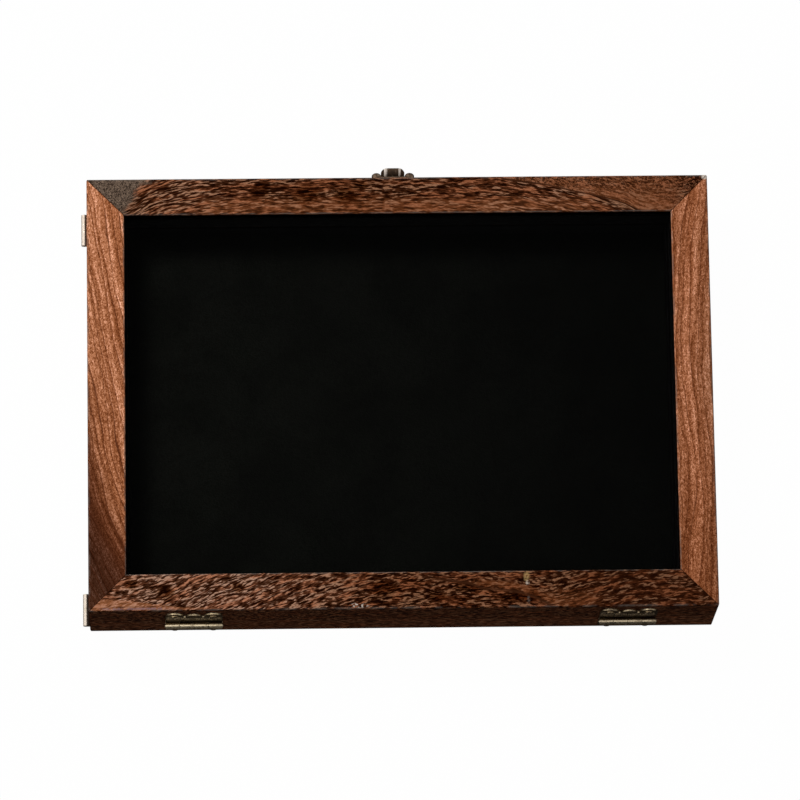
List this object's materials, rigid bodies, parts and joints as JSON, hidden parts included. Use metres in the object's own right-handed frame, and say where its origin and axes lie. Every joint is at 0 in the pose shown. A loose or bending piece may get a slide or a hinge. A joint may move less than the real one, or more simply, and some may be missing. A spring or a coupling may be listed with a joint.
{
  "type": "insect display box",
  "caption": "Shallow wooden display case with a glazed lid on brass hinges, a swing clasp, hanger eyes and a black foam pinning board inside.",
  "frame": {"origin": "centre of the wooden case's back face, which it rests on", "axes": "+X along the case's length, +Y from the hinge side to the clasp side, +Z from the back to the glass"},
  "size_m": [0.3033, 0.2234, 0.0465],
  "materials": {
    "dark_wood": "oiled, wavy dark figure",
    "light_wood": "oiled, straight grain",
    "panel_wood": "plain plywood",
    "pinning_foam": "matte black foam",
    "black_card": "matte black card",
    "black_bead": "matte black paint",
    "glass": "clear",
    "antique_brass": "antique, worn bright at the edges",
    "bright_brass": "polished",
    "steel": "plain"
  },
  "bodies": {
    "base": {"base_rail_hinge_side": "dark_wood", "base_rail_clasp_side": "dark_wood", "base_stile_left": "light_wood", "base_stile_right": "light_wood", "back_panel": "panel_wood", "back_panel_brads": "steel", "base_corner_brads": "steel", "pinning_board": "pinning_foam", "wall_lining_hinge_side": "black_card", "wall_lining_clasp_side": "black_card", "wall_lining_left": "black_card", "wall_lining_right": "black_card", "hinge_left_base_leaf": "antique_brass", "hinge_left_pin": "antique_brass", "hinge_left_base_screws": "antique_brass", "hinge_right_base_leaf": "antique_brass", "hinge_right_pin": "antique_brass", "hinge_right_base_screws": "antique_brass", "clasp_plate": "antique_brass", "clasp_plate_screws": "antique_brass", "clasp_pin": "antique_brass", "hanger_upper": "bright_brass", "hanger_lower": "bright_brass", "hanger_screws": "bright_brass"},
    "lid": {"lid_rail_hinge_side": "dark_wood", "lid_rail_clasp_side": "dark_wood", "lid_stile_left": "light_wood", "lid_stile_right": "light_wood", "glass_pane": "glass", "glass_bead_hinge_side": "black_bead", "glass_bead_clasp_side": "black_bead", "glass_bead_left": "black_bead", "glass_bead_right": "black_bead", "hinge_left_lid_leaf": "antique_brass", "hinge_left_lid_screws": "antique_brass", "hinge_right_lid_leaf": "antique_brass", "hinge_right_lid_screws": "antique_brass", "clasp_catch_plate": "antique_brass", "clasp_catch_screws": "antique_brass"},
    "clasp_tongue": {"clasp_tongue": "antique_brass"}
  },
  "joints": [
    {"name": "lid_hinge", "type": "hinge", "parent": "base", "child": "lid", "pos_m": [0, -0.1088, 0.02335], "axis": [1, 0, 0], "range_deg": [0, 180]},
    {"name": "clasp_hinge", "type": "hinge", "parent": "base", "child": "clasp_tongue", "pos_m": [-0.0019, 0.1089, 0.021], "axis": [-1, 0, 0], "range_deg": [0, 165]}
  ]
}
